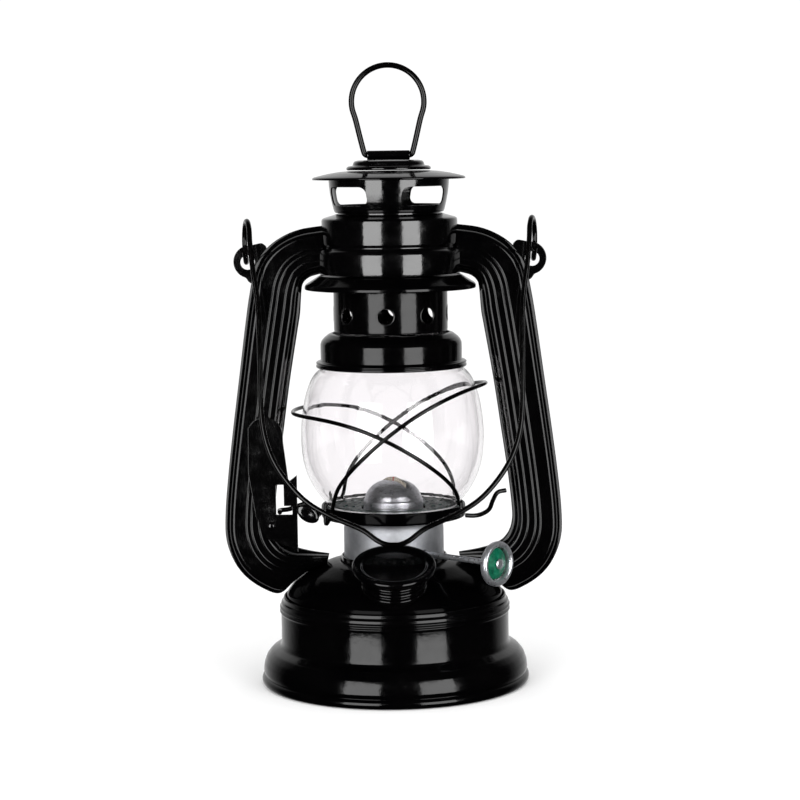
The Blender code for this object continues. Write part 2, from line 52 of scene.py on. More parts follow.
# Fineness.
STEPS = 144                # facets round a large turned piece
MEDIUM_STEPS = 96
SMALL_STEPS = 72
TINY_STEPS = 48
FEWEST_STEPS = 40
WELD = 1e-6                # points closer than this, in metres, are one point
SHARP = radians(48.0)      # edges sharper than this stay crisp on turned and cut pieces
WIRE_SHARP = radians(60.0)
PLATE_SHARP = radians(12.0)
TUBE_SHARP = radians(55.0)

# Filler.
CAP_CENTRE = (0.0, -41.0, 59.0)
CAP_TILT = radians(19.0)   # forward
NECK_R, RIB_R = 13.0, 14.2
RIB_COUNT = 3              # thread ridges on the neck
FIRST_RIB = -5.2
RIB_PITCH = 2.7

# Wick and its knob.
KNOB_AIM = radians(-41.8)  # the spindle's direction, turned from +X
SPINDLE_Z = 60.0
SPINDLE_OFFSET = -4.6      # the spindle passes this far beside the wick's middle
SPINDLE_R = 1.25
KNOB_REACH = 64.0
WICK_WIDTH, WICK_THICK = 14.4, 1.5
WICK_FOOT, WICK_TOP = 12.2, 92.0
WICK_ARCH = 2.8            # how far the wick's top falls away toward its edges
WHEEL_TEETH = 16
WHEEL_OUTER_R, WHEEL_ROOT_R, WHEEL_BORE_R = 3.3, 2.7, 1.55

# Side tubes and the plates on them.
TUBE_DEPTH = 8.3           # half the tube's thickness, front to back
LUG_X, LUG_Z, LUG_R = 61.9, 188.6, 7.3
LUG_HOLE, LUG_HOLE_R = (62.9, 188.3), 3.2
BRACKET_HEAD = (-56.3, 112.4)
BRACKET_HEAD_R = 7.9

# Gallery.
GALLERY_R = 32.2
GLOBE_R = 40.7
GUARD_FOOT_R = GALLERY_R + 1.05
GUARD_WIRE_R = 0.88
GUARD_SPAN = 308.0         # degrees of the globe that a guard wire goes round
STAY_WIRE_R, LEVER_WIRE_R = 1.0, 1.05
TAB_CENTRE, TAB_TURN = (-37.8, -10.8, 77.2), radians(34.0)
TAB_HALF_SIZE = (5.4, 1.1, 3.5)
TAB_ROWS = 24
PLATE_HOLE_R = 0.95
# Radius of each row of holes in the plate, holes in it, share of a hole's step it is turned by.
PLATE_HOLES = ((18.0, 22, 0.0), (21.6, 26, 0.5), (25.2, 30, 0.5))

# Chimney.
VENT_TURN = radians(-5.0)  # the vents and windows sit a little off the front
VENT_Z, VENT_R = 165.0, 3.6
RIM_R, RIM_WIRE_R = 3.72, 0.36
RIM_SEAT_R = 24.98         # the rims lie on this radius of the chimney's wall
BARREL_Z = 234.6

# Handles.
RING_CENTRE_Z, RING_R, RING_WIRE_R = 258.0, 15.9, 1.28
BAIL_WIRE_R = 1.15
BAIL_LEAN = 16.3           # degrees that the bail hangs forward at rest
EYE_X, EYE_Z, EYE_R = 62.9, 197.4, 9.1
EYE_TURN = radians(11.0)   # each eye is turned this far out of the side view
EYE_STEP = 2.3             # the wire's end passes this far outside its own leg
# Degrees round the eye: where the leg leaves it, where the end starts to pass, the end.
EYE_START, EYE_CROSSING, EYE_END = 90.0 + BAIL_LEAN, 340.0, 424.0

# Studio.
FLOOR_GREY = 0.985
WORLD_LIGHT = 1.05         # the white sweep that lights the scene
WORLD_REFLECTED = 0.006    # what glossy pieces see of it: black cards, as in a studio
WALL_REFLECTED = 0.7       # and, behind the lantern, a pale wall
WALL_EDGE, WALL_FULL = 0.35, 0.98    # how far toward +Y the wall begins and is brightest
SOFTBOX_SIZE, SOFTBOX_POWER = (0.72, 1.0), 15.0
SOFTBOX_DISTANCE, SOFTBOX_HEIGHT, SOFTBOX_AIM = 1.3, 0.17, (0.0, 0.0, 0.15)
CAMERA_DISTANCE, CAMERA_PITCH, CAMERA_ROLL = 1.0235, radians(6.2), radians(-0.8)
CAMERA_AIM = (0.0036, 0.0, 0.1262)
CAMERA_LENS = 103.5

body_of = {node: body for body, nodes in frame["record"]["behaviour"]["bodies"].items()
           for node in nodes}


# ---------------------------------------------------------------- materials

class Nodes:
    """Builds a material's node tree round its Principled shader."""

    def __init__(self, name):
        self.material = bpy.data.materials.new(name)
        self.material.use_nodes = True
        self.tree = self.material.node_tree
        self.shader = self.tree.nodes["Principled BSDF"]
        self.coords = self.tree.nodes.new("ShaderNodeTexCoord")

    def link(self, source, target):
        self.tree.links.new(source, target)

    def mapped(self, scale):
        """Object coordinates, stretched by scale (x, y, z)."""
        mapping = self.tree.nodes.new("ShaderNodeMapping")
        mapping.inputs["Scale"].default_value = scale
        self.link(self.coords.outputs["Object"], mapping.inputs["Vector"])
        return mapping.outputs["Vector"]

    def noise(self, scale, detail=3.0, roughness=0.5, stretch=(1.0, 1.0, 1.0)):
        noise = self.tree.nodes.new("ShaderNodeTexNoise")
        noise.inputs["Scale"].default_value = scale
        noise.inputs["Detail"].default_value = detail
        noise.inputs["Roughness"].default_value = roughness
        self.link(self.mapped(stretch), noise.inputs["Vector"])
        return noise.outputs["Fac"]

    def voronoi(self, scale, stretch=(1.0, 1.0, 1.0)):
        cells = self.tree.nodes.new("ShaderNodeTexVoronoi")
        cells.inputs["Scale"].default_value = scale
        self.link(self.mapped(stretch), cells.inputs["Vector"])
        return cells.outputs["Distance"]

    def ramp(self, source, stops):
        """stops are (position, grey or colour)."""
        ramp = self.tree.nodes.new("ShaderNodeValToRGB")
        while len(ramp.color_ramp.elements) < len(stops):
            ramp.color_ramp.elements.new(0.5)
        for element, (position, value) in zip(ramp.color_ramp.elements, stops):
            element.position = position
            colour = value if isinstance(value, tuple) else (value, value, value)
            element.color = (*colour, 1.0)
        self.link(source, ramp.inputs["Fac"])
        return ramp.outputs["Color"]

    def bump(self, source, strength, distance, below=None):
        bump = self.tree.nodes.new("ShaderNodeBump")
        bump.inputs["Strength"].default_value = strength
        bump.inputs["Distance"].default_value = distance
        self.link(source, bump.inputs["Height"])
        if below is not None:
            self.link(below, bump.inputs["Normal"])
        self.link(bump.outputs["Normal"], self.shader.inputs["Normal"])
        return bump.outputs["Normal"]

    def set(self, **values):
        for name, value in values.items():
            self.shader.inputs[name.replace("_", " ")].default_value = value


def black_enamel(name="black_enamel_finish", gloss=1.0):
    """Dipped gloss enamel: faint orange peel, runs, and dust that dulls the gloss."""
    m = Nodes(name)
    m.set(Specular_IOR_Level=0.5 * gloss, Coat_Weight=0.35 * gloss, Coat_Roughness=0.04)
    tint = m.ramp(m.noise(35.0, 4.0), [(0.35, (0.0002, 0.0002, 0.0003)),
                                        (0.75, (0.0008, 0.0007, 0.0008))])
    m.link(tint, m.shader.inputs["Base Color"])
    m.link(m.ramp(m.noise(160.0, 6.0, 0.65), [(0.38, 0.09), (0.62, 0.17), (0.78, 0.34)]),
           m.shader.inputs["Roughness"])
    peel = m.bump(m.noise(420.0, 2.0), 0.10, 0.0004)
    m.bump(m.noise(45.0, 2.0, stretch=(1.0, 1.0, 0.5)), 0.12, 0.0012, below=peel)
    return m.material


def black_wire():
    """Enamelled wire: a little rougher, with small drips along it."""
    m = Nodes("black_wire_finish")
    m.set(Specular_IOR_Level=0.22, Coat_Weight=0.08, Coat_Roughness=0.08)
    m.link(m.ramp(m.noise(90.0), [(0.3, (0.0002, 0.0002, 0.0002)), (0.7, (0.0009, 0.0008, 0.0008))]),
           m.shader.inputs["Base Color"])
    m.link(m.ramp(m.noise(260.0, 5.0), [(0.35, 0.08), (0.7, 0.18)]),
           m.shader.inputs["Roughness"])
    m.bump(m.noise(120.0, 2.0), 0.12, 0.0003)
    return m.material


def silver_metal(name, brushed=(1.0, 1.0, 14.0), tone=1.0, rough=(0.24, 0.42)):
    """Satin metal: fine marks along it or round it, and a cloudy tone."""
    m = Nodes(name)
    m.set(Metallic=0.92)
    cloud = m.ramp(m.noise(120.0, 5.0, 0.6), [(0.3, (0.46 * tone, 0.47 * tone, 0.50 * tone)),
                                               (0.7, (0.70 * tone, 0.71 * tone, 0.74 * tone))])
    m.link(cloud, m.shader.inputs["Base Color"])
    m.link(m.ramp(m.noise(500.0, 4.0, stretch=brushed), [(0.3, rough[0]), (0.7, rough[1])]),
           m.shader.inputs["Roughness"])
    marks = m.bump(m.noise(700.0, 3.0, stretch=brushed), 0.22, 0.0003)
    m.bump(m.noise(210.0, 4.0), 0.18, 0.0004, below=marks)
    return m.material


def green_enamel():
    """Dark green paint pooled in the knob's dish."""
    m = Nodes("green_enamel_finish")
    m.set(Coat_Weight=0.5, Coat_Roughness=0.1)
    m.link(m.ramp(m.noise(380.0, 5.0, 0.7), [(0.3, (0.0, 0.035, 0.02)), (0.55, (0.0, 0.1, 0.05)),
                                              (0.75, (0.03, 0.2, 0.12))]),
           m.shader.inputs["Base Color"])
    m.link(m.ramp(m.noise(240.0), [(0.3, 0.2), (0.7, 0.42)]), m.shader.inputs["Roughness"])
    m.bump(m.noise(330.0, 4.0), 0.35, 0.0005)
    return m.material


def gallery_green():
    """The perforated plate: green-black, knurled, with metal showing through."""
    m = Nodes("gallery_plate_finish")
    m.set(Metallic=0.55)
    m.link(m.ramp(m.noise(420.0, 5.0, 0.7), [(0.36, (0.006, 0.022, 0.018)),
                                              (0.52, (0.05, 0.09, 0.08)),
                                              (0.70, (0.32, 0.37, 0.36))]),
           m.shader.inputs["Base Color"])
    m.link(m.ramp(m.noise(300.0, 4.0), [(0.3, 0.26), (0.7, 0.5)]), m.shader.inputs["Roughness"])
    m.bump(m.voronoi(620.0), 0.7, 0.0006)
    return m.material


def clear_glass():
    """Blown glass with slow waves and a few seeds."""
    m = Nodes("clear_glass_finish")
    m.set(Base_Color=(0.982, 0.966, 0.976, 1.0), Roughness=0.0, IOR=1.46,
          Transmission_Weight=1.0)
    waves = m.bump(m.noise(26.0, 1.0), 0.05, 0.002)
    seeds = m.ramp(m.voronoi(120.0), [(0.0, 1.0), (0.035, 0.0)])
    m.bump(seeds, 0.15, 0.0003, below=waves)
    return m.material


def cotton():
    """Woven wick."""
    m = Nodes("cotton_wick_finish")
    m.set(Roughness=0.9, Sheen_Weight=0.3)
    weave = m.voronoi(1400.0, (1.0, 1.0, 0.6))
    m.link(m.ramp(weave, [(0.1, (0.84, 0.78, 0.66)), (0.6, (0.6, 0.53, 0.41))]),
           m.shader.inputs["Base Color"])
    m.bump(weave, 0.8, 0.0006)
    return m.material


def red_thread():
    """The dyed thread that marks the wick."""
    m = Nodes("red_thread_finish")
    m.set(Roughness=0.8, Sheen_Weight=0.3)
    m.link(m.ramp(m.noise(900.0), [(0.3, (0.35, 0.02, 0.02)), (0.7, (0.6, 0.06, 0.05))]),
           m.shader.inputs["Base Color"])
    return m.material


def cork():
    """Pressed cork."""
    m = Nodes("cork_gasket_finish")
    m.set(Roughness=0.9)
    m.link(m.ramp(m.noise(500.0, 6.0, 0.7), [(0.3, (0.16, 0.08, 0.04)), (0.7, (0.45, 0.3, 0.17))]),
           m.shader.inputs["Base Color"])
    m.bump(m.noise(600.0, 4.0), 0.6, 0.0006)
    return m.material


ENAMEL = black_enamel()
DULLED = black_enamel("dulled_enamel_finish", gloss=0.38)
MATT = black_enamel("matt_enamel_finish", gloss=0.05)
WIRE = black_wire()
# One burner metal in two tones: the lighter tone (1.12) on the dome, deck and wick tube is painted
# light, and the darker tone (0.86) on the burner shell is painted shade that dims its highlight. The
# shell is also a rougher finish.
SILVER = silver_metal("silver_painted_light_finish", tone=1.12)
SHELL_SILVER_PAINTED_SHADE = silver_metal("burner_shell_painted_shade_finish", tone=0.86, rough=(0.42, 0.6))
SILVER_PLAIN = silver_metal("silver_rod_finish", (1.0, 1.0, 1.0), 1.1)
GREEN = green_enamel()
GALLERY = gallery_green()
GLASS = clear_glass()
COTTON = cotton()
RED = red_thread()
CORK = cork()


# ---------------------------------------------------------------- shape helpers

def link_object(name, data, material):
    obj = bpy.data.objects.new(name, data)
    bpy.context.scene.collection.objects.link(obj)
    data.materials.append(material)
    return obj


def apply_modifiers(obj):
    """Bakes the object's modifiers and its place into its mesh, and shades it."""
    bpy.context.view_layer.update()
    graph = bpy.context.evaluated_depsgraph_get()
    mesh = bpy.data.meshes.new_from_object(obj.evaluated_get(graph))
    mesh.transform(obj.matrix_world)
    obj.modifiers.clear()
    obj.data = mesh
    obj.matrix_world = Matrix.Identity(4)
    mesh.shade_smooth()
    mesh.set_sharp_from_angle(angle=SHARP)
    return obj


def rounded(points, fillet, closed=True, arc=3):
    """The outline with each corner turned into a small curve."""
    pts = [Vector((p[0], p[1])) for p in points]
    result = []
    count = len(pts)
    for i, corner in enumerate(pts):
        if not closed and i in (0, count - 1):
            result.append(corner)
            continue
        before = pts[i - 1] - corner
        after = pts[(i + 1) % count] - corner
        start = corner + before.normalized() * min(fillet, before.length * 0.45)
        end = corner + after.normalized() * min(fillet, after.length * 0.45)
        for k in range(arc + 1):
            t = k / arc
            result.append((1 - t) ** 2 * start + 2 * t * (1 - t) * corner + t ** 2 * end)
    return [(p.x, p.y) for p in result]


def turned(name, profile, material, fillet, steps=STEPS, closed=True, place=None):
    """A turned piece. profile is (radius, z) and runs down the outer side."""
    outline = rounded(profile, fillet, closed)
    points = [(r * MM, 0.0, z * MM) for r, z in outline]
    edges = [(i, i + 1) for i in range(len(points) - 1)]
    if closed:
        edges.append((len(points) - 1, 0))
    mesh = bpy.data.meshes.new(name)
    mesh.from_pydata(points, edges, [])
    obj = link_object(name, mesh, material)
    screw = obj.modifiers.new("turn", "SCREW")
    screw.steps = steps
    screw.render_steps = steps
    screw.use_merge_vertices = True
    screw.merge_threshold = WELD
    if place:
        obj.matrix_world = place
    return obj


def cylinder(name, radius, length, material, place, segments=SMALL_STEPS):
    mesh = bpy.data.meshes.new(name)
    shape = bmesh.new()
    bmesh.ops.create_cone(shape, cap_ends=True, segments=segments, radius1=radius * MM,
                          radius2=radius * MM, depth=length * MM)
    shape.to_mesh(mesh)
    shape.free()
    obj = link_object(name, mesh, material)
    obj.matrix_world = place
    return obj


def block(name, size, material, place, bevel=0.0, segments=4):
    mesh = bpy.data.meshes.new(name)
    shape = bmesh.new()
    bmesh.ops.create_cube(shape, size=1.0)
    bmesh.ops.scale(shape, vec=Vector(size) * MM, verts=shape.verts)
    shape.to_mesh(mesh)
    shape.free()
    obj = link_object(name, mesh, material)
    obj.matrix_world = place
    if bevel:
        soften(obj, bevel, segments)
    return obj


def soften(obj, width, segments):
    """Bevels every sharp edge."""
    rounding = obj.modifiers.new("rounding", "BEVEL")
    rounding.width = width * MM
    rounding.segments = segments


def cut(target, tool):
    """Takes the tool's shape out of the target, once its modifiers are applied."""
    boolean = target.modifiers.new("cut", "BOOLEAN")
    boolean.operation = "DIFFERENCE"
    boolean.solver = "EXACT"
    boolean.object = tool
    tool.hide_render = True


def discard(*tools):
    for tool in tools:
        bpy.data.objects.remove(tool, do_unlink=True)


def stand_for(obj, node):
    """obj is the finished form of the CAD node."""
    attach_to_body(obj, body_of[node])
    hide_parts(node)


def add_on(obj, node):
    """obj is a detail that goes with the CAD node."""
    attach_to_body(obj, body_of[node])


def turned_node(node, profile, material, fillet, steps=STEPS, closed=True, place=None):
    obj = turned(node + "_fine", profile, material, fillet, steps, closed, place)
    stand_for(apply_modifiers(obj), node)


def smooth_path(points, per_span=10):
    """Catmull-Rom points through the given ones."""
    pts = [Vector(p) for p in points]
    ends = [2 * pts[0] - pts[1], *pts, 2 * pts[-1] - pts[-2]]
    path = []
    for a, b, c, d in zip(ends, ends[1:], ends[2:], ends[3:]):
        for k in range(per_span):
            t = k / per_span
            path.append(0.5 * (2 * b + (c - a) * t + (2 * a - 5 * b + 4 * c - d) * t * t
                               + (3 * b - a - 3 * c + d) * t ** 3))
    path.append(pts[-1])
    return path


def mesh_of_curve(obj):
    """Turns the curve object into a mesh in the same place, and removes the object."""
    bpy.context.view_layer.update()
    graph = bpy.context.evaluated_depsgraph_get()
    mesh = bpy.data.meshes.new_from_object(obj.evaluated_get(graph))
    mesh.transform(obj.matrix_world)
    bpy.data.objects.remove(obj, do_unlink=True)
    return mesh


def weld(mesh, sharp):
    """Joins points that coincide, turns the faces outward and shades the mesh."""
    shape = bmesh.new()
    shape.from_mesh(mesh)
    bmesh.ops.remove_doubles(shape, verts=shape.verts, dist=WELD)
    bmesh.ops.recalc_face_normals(shape, faces=shape.faces)
    shape.to_mesh(mesh)
    shape.free()
    mesh.shade_smooth()
    mesh.set_sharp_from_angle(angle=sharp)


def wire(name, points, radius, material, cyclic=False):
    """A round wire, as a mesh; its two ends are capped unless it is a closed loop."""
    curve = bpy.data.curves.new(name, "CURVE")
    curve.dimensions = "3D"
    curve.bevel_depth = radius * MM
    curve.bevel_resolution = 5
    curve.use_fill_caps = not cyclic
    spline = curve.splines.new("POLY")
    spline.points.add(len(points) - 1)
    for target, point in zip(spline.points, points):
        target.co = (*(Vector(point) * MM), 1.0)
    spline.use_cyclic_u = cyclic
    mesh = mesh_of_curve(link_object(name, curve, material))
    weld(mesh, WIRE_SHARP)
    return link_object(name, mesh, material)


def wire_node(node, points, radius):
    stand_for(wire(node + "_fine", points, radius, WIRE), node)


def plate(name, outline, thickness, front_y, material, holes=(), bevel=0.15):
    """A flat plate with softened edges. The outline and holes are loops of (x, z)."""
    curve = bpy.data.curves.new(name, "CURVE")
    curve.dimensions = "2D"
    curve.fill_mode = "BOTH"
    curve.extrude = (thickness / 2 - bevel) * MM
    curve.bevel_depth = bevel * MM
    curve.bevel_resolution = 2
    curve.offset = -bevel * MM
    for loop in (outline, *holes):
        spline = curve.splines.new("POLY")
        spline.points.add(len(loop) - 1)
        for target, (x, z) in zip(spline.points, loop):
            target.co = (x * MM, z * MM, 0.0, 1.0)
        spline.use_cyclic_u = True
    obj = link_object(name, curve, material)
    obj.rotation_euler = (pi / 2, 0.0, 0.0)
    obj.location = (0.0, (front_y + thickness / 2) * MM, 0.0)
    mesh = mesh_of_curve(obj)
    weld(mesh, PLATE_SHARP)
    return link_object(name, mesh, material)


def arc_points(x, z, radius, degrees):
    """Points (x, z) round a centre at the given angles."""
    return [(x + radius * cos(radians(a)), z + radius * sin(radians(a))) for a in degrees]


def filler_frame():
    """The filler's axis, from the middle of the cap's top."""
    return Matrix.Translation(Vector(CAP_CENTRE) * MM) @ Matrix.Rotation(CAP_TILT, 4, "X")


def wick_frame(z=0.0, along=0.0, across=0.0):
    """A place measured from the lantern's axis along the wick's width and thickness."""
    turn = Matrix.Rotation(KNOB_AIM, 4, "Z")
    return turn @ Matrix.Translation(Vector((along, across, z)) * MM)


def spindle_frame(along):
    """A place on the spindle, with Z along it toward the knob."""
    return wick_frame(SPINDLE_Z, along, SPINDLE_OFFSET) @ Matrix.Rotation(pi / 2, 4, "Y")


def turn_about_z(angle, z):
    """A turn about the lantern's axis, at the height z."""
    return Matrix.Translation((0.0, 0.0, z * MM)) @ Matrix.Rotation(angle, 4, "Z")


# ---------------------------------------------------------------- tank

def build_tank():
    turned_node("tank_shell", [
        (49.0, 39.1), (49.8, 38.9), (49.9, 37.4), (50.3, 36.9), (50.9, 36.5), (51.0, 35.2),
        (51.55, 34.7), (51.6, 34.2), (51.0, 33.7), (51.0, 33.2), (51.55, 32.8), (51.6, 32.3),
        (51.0, 31.9), (50.95, 25.0), (51.0, 18.6), (51.5, 17.0), (53.1, 16.1), (55.6, 14.8),
        (57.7, 12.3), (58.9, 9.0), (59.2, 6.0), (58.9, 4.5), (58.6, 4.1), (59.3, 3.7),
        (59.9, 2.9), (60.05, 1.8), (59.7, 0.6), (59.0, 0.0), (57.5, 0.0), (57.3, 4.6),
        (56.5, 11.3), (54.8, 13.4), (51.8, 15.0), (50.3, 17.2), (50.3, 35.6), (49.0, 37.0)],
        DULLED, fillet=0.7)
    turned_node("tank_bottom", [
        (0.0, 6.2), (48.0, 6.2), (52.5, 4.4), (56.8, 4.4), (56.8, 3.4), (52.2, 3.4),
        (47.6, 5.3), (30.0, 5.3), (28.0, 4.6), (26.0, 5.3), (0.0, 5.3)],
        DULLED, fillet=1.2, closed=False)
    top = turned("tank_top_fine", [
        (24.0, 54.7), (30.0, 53.6), (38.0, 50.1), (44.6, 45.2), (47.0, 42.2), (48.3, 40.2),
        (48.3, 37.4), (47.5, 37.4), (47.5, 40.0), (44.0, 44.3), (37.6, 49.2), (29.8, 52.7),
        (24.0, 53.9)], MATT, fillet=1.6)
    throat = cylinder("throat_tool", 8.6, 40.0, DULLED, filler_frame())
    cut(top, throat)
    apply_modifiers(top)
    discard(throat)
    stand_for(top, "tank_top")


def build_filler():
    place = filler_frame()
    profile = [(NECK_R, -3.4)]
    for rib in range(RIB_COUNT):
        middle = FIRST_RIB - RIB_PITCH * rib
        profile += [(NECK_R, middle + 1.1), (RIB_R, middle + 0.55), (RIB_R, middle - 0.55),
                    (NECK_R, middle - 1.1)]
    profile += [(NECK_R, -22.0), (9.3, -22.0), (9.3, -3.4)]
    neck = turned("filler_neck_fine", profile, DULLED, fillet=0.5, steps=MEDIUM_STEPS,
                  place=place)
    dome = turned("dome_tool", [
        (0.0, 55.6), (24.0, 55.3), (30.0, 54.1), (38.0, 50.7), (45.4, 45.6),
        (49.2, 40.6), (51.6, 40.0), (52.6, 39.2), (52.6, 20.0), (0.0, 20.0)],
        DULLED, fillet=0.2, steps=MEDIUM_STEPS, closed=False)
    cut(neck, dome)
    apply_modifiers(neck)
    discard(dome)
    stand_for(neck, "filler_neck")
    turned_node("cap_gasket", [(13.4, -2.5), (13.4, -3.1), (9.2, -3.1), (9.2, -2.5)],
                CORK, fillet=0.15, steps=SMALL_STEPS, place=place)
    turned_node("filler_cap", [
        (0.0, 0.3), (6.0, 0.2), (12.8, -0.4), (13.6, -0.3), (14.6, 0.75), (16.2, 0.95),
        (17.6, 0.75), (18.2, 0.0), (18.2, -1.2), (17.4, -2.1), (8.6, -2.2), (8.6, -8.0),
        (0.0, -8.0)], DULLED, fillet=0.6, steps=MEDIUM_STEPS, closed=False, place=place)


# ---------------------------------------------------------------- burner

def build_burner():
    turned_node("burner_seat", [(23.6, 57.0), (23.6, 50.5), (22.9, 50.5), (22.9, 57.0)],
                ENAMEL, fillet=0.25)
    body = turned("burner_body_fine", [
        (19.0, 73.9), (20.3, 73.6), (21.3, 72.6), (21.9, 71.2), (22.3, 69.3), (22.3, 66.6),
        (22.35, 58.6), (22.35, 51.0), (21.6, 51.0), (21.6, 69.2), (21.2, 70.9), (20.6, 72.1),
        (19.9, 72.9), (18.7, 73.2)], SHELL_SILVER_PAINTED_SHADE, fillet=0.8)
    port = cylinder("port_tool", 1.7, 20.0, SILVER, spindle_frame(22.0), TINY_STEPS)
    cut(body, port)
    apply_modifiers(body)
    discard(port)
    stand_for(body, "burner_body")
    turned_node("burner_deck", [(19.2, 75.2), (19.2, 74.4), (9.4, 74.4), (9.4, 75.2)],
                SILVER, fillet=0.2)
    dome = turned("burner_dome_fine", [
        (2.6, 90.8), (4.6, 90.5), (7.0, 89.7), (9.2, 88.4), (11.0, 86.6), (12.2, 84.6),
        (12.7, 83.0), (12.9, 82.5), (13.35, 82.2), (13.35, 79.6), (13.2, 79.3), (13.35, 79.0),
        (13.35, 75.6), (12.6, 75.6), (12.6, 81.8), (12.0, 82.8), (10.8, 85.4), (8.8, 87.4),
        (5.9, 89.1), (2.6, 89.9)], SILVER, fillet=0.5, steps=MEDIUM_STEPS)
    slot = block("slot_tool", (WICK_WIDTH + 6.0, 4.6, 9.0), SILVER, wick_frame(92.0), 1.2)
    cut(dome, slot)
    apply_modifiers(dome)
    discard(slot)
    stand_for(dome, "burner_dome")


def build_wick():
    tube = block("wick_tube_fine", (WICK_WIDTH + 2.2, 3.6, 32.0), SILVER, wick_frame(70.0), 0.6)
    bore = block("bore_tool", (WICK_WIDTH + 0.8, WICK_THICK + 0.7, 60.0), SILVER,
                 wick_frame(70.0), 0.5)
    opening = block("wheel_tool", (12.0, 3.0, 8.6), SILVER, wick_frame(SPINDLE_Z, 0.0, -2.2))
    cut(tube, bore)
    cut(tube, opening)
    apply_modifiers(tube)
    discard(bore, opening)
    stand_for(tube, "wick_tube")
    half_width = WICK_WIDTH / 2
    outline = [(-half_width, WICK_FOOT), (half_width, WICK_FOOT)]
    # The arched top, from one edge to the other.
    for step in range(17):
        along = half_width * (1.0 - step / 8)
        outline.append((along, WICK_TOP - WICK_ARCH * (along / half_width) ** 2))
    wick = plate("wick_fine", outline, WICK_THICK, -WICK_THICK / 2, COTTON, bevel=0.3)
    wick.data.transform(wick_frame())
    stand_for(wick, "wick")
    thread = block("wick_red_thread", (0.9, 1.54, 79.8), RED, wick_frame(52.1, 0.7), 0.2)
    add_on(apply_modifiers(thread), "wick")


def toothed_wheel(node, along):
    """Spur wheel that grips the wick: a saw-toothed disc."""
    shape = bmesh.new()
    count = WHEEL_TEETH * 2

    def ring(tip_r, root_r, height):
        verts = []
        for i in range(count):
            radius = tip_r if i % 2 == 0 else root_r
            angle = 2 * pi * i / count
            verts.append(shape.verts.new((radius * cos(angle) * MM, radius * sin(angle) * MM,
                                          height * MM)))
        return verts

    low_out, low_in, high_out, high_in = (
        ring(tip_r, root_r, height) for height in (-0.5, 0.5)
        for tip_r, root_r in ((WHEEL_OUTER_R, WHEEL_ROOT_R), (WHEEL_BORE_R, WHEEL_BORE_R)))
    for i in range(count):
        j = (i + 1) % count
        shape.faces.new((low_out[i], low_out[j], high_out[j], high_out[i]))
        shape.faces.new((low_in[j], low_in[i], high_in[i], high_in[j]))
        shape.faces.new((high_out[i], high_out[j], high_in[j], high_in[i]))
        shape.faces.new((low_out[j], low_out[i], low_in[i], low_in[j]))
    mesh = bpy.data.meshes.new(node + "_fine")
    shape.to_mesh(mesh)
    shape.free()
    obj = link_object(node + "_fine", mesh, SILVER_PLAIN)
    obj.matrix_world = spindle_frame(along)
    stand_for(apply_modifiers(obj), node)


def build_wick_knob():
    spindle = cylinder("wick_spindle_fine", SPINDLE_R, KNOB_REACH + 4.0, SILVER_PLAIN,
                       spindle_frame((KNOB_REACH - 6.2) / 2), TINY_STEPS)
    soften(spindle, 0.3, 3)
    stand_for(apply_modifiers(spindle), "wick_spindle")
    for index, along in enumerate((-3.4, 3.4)):
        toothed_wheel(f"spur_wheel_{index + 1}", along)
    place = spindle_frame(KNOB_REACH)
    turned_node("knob_disc", [
        (1.6, 0.35), (2.6, 0.15), (4.5, -0.5), (6.3, -0.95), (6.9, -1.5), (6.9, -2.1),
        (1.6, -1.6)], GREEN, fillet=0.3, steps=SMALL_STEPS, place=place)
    turned_node("knob_rim", [
        (7.9, 0.9), (8.6, 1.15), (9.3, 0.85), (9.75, 0.0), (9.75, -1.5), (9.2, -2.3),
        (7.3, -2.2), (7.3, 0.3)], SILVER_PLAIN, fillet=0.5, steps=MEDIUM_STEPS, place=place)
    turned_node("knob_hub", [(0.0, 1.4), (1.5, 1.3), (2.2, 0.9), (2.2, 0.75), (0.0, 0.75)],
                SILVER_PLAIN, fillet=0.2, steps=TINY_STEPS, closed=False, place=place)


# ---------------------------------------------------------------- frame

# Right side tube, from the hood down to the tank: (x, z) on its inner and outer edge,
# and its half depth.
TUBE_STATIONS = [
    ((30.4, 183.0), (28.6, 204.2), 8.3), ((35.6, 181.5), (39.5, 202.6), 8.3),
    ((38.5, 178.9), (48.0, 199.2), 8.3), ((39.3, 175.6), (54.8, 194.0), 8.3),
    ((39.7, 171.0), (59.6, 186.5), 8.3), ((40.2, 165.0), (62.4, 174.0), 8.3),
    ((41.4, 158.0), (64.6, 160.0), 8.3), ((45.2, 135.6), (67.6, 138.0), 8.3),
    ((48.6, 112.0), (71.0, 113.5), 8.3), ((51.4, 92.0), (73.6, 92.5), 8.3),
    ((52.8, 79.0), (75.1, 76.0), 8.3), ((53.0, 72.5), (74.9, 64.5), 8.3),
    ((51.8, 67.4), (71.6, 54.6), 8.3), ((49.2, 63.6), (66.2, 47.3), 8.2),
    ((46.2, 61.6), (58.4, 41.9), 8.0), ((43.6, 60.5), (51.4, 39.9), 7.8),
    ((40.4, 59.6), (45.2, 44.9), 7.2), ((35.8, 58.6), (38.2, 49.9), 6.2),
    ((29.0, 57.6), (30.0, 53.2), 4.6)]

# One pressed half: (position across, -1 inner to 1 outer; depth, 0 to 1), outside
# then inside. Three raised ribs run the length of the tube.
RIB_CENTRES = (-0.40, -0.10, 0.10)
SIDE = [(-1.0, 0.02), (-1.0, 0.11), (-0.87, 0.12), (-0.83, 0.20), (-0.80, 0.52),
        (-0.76, 0.74), (-0.70, 0.86), (-0.63, 0.905), (-0.59, 0.912), (-0.56, 0.913)]


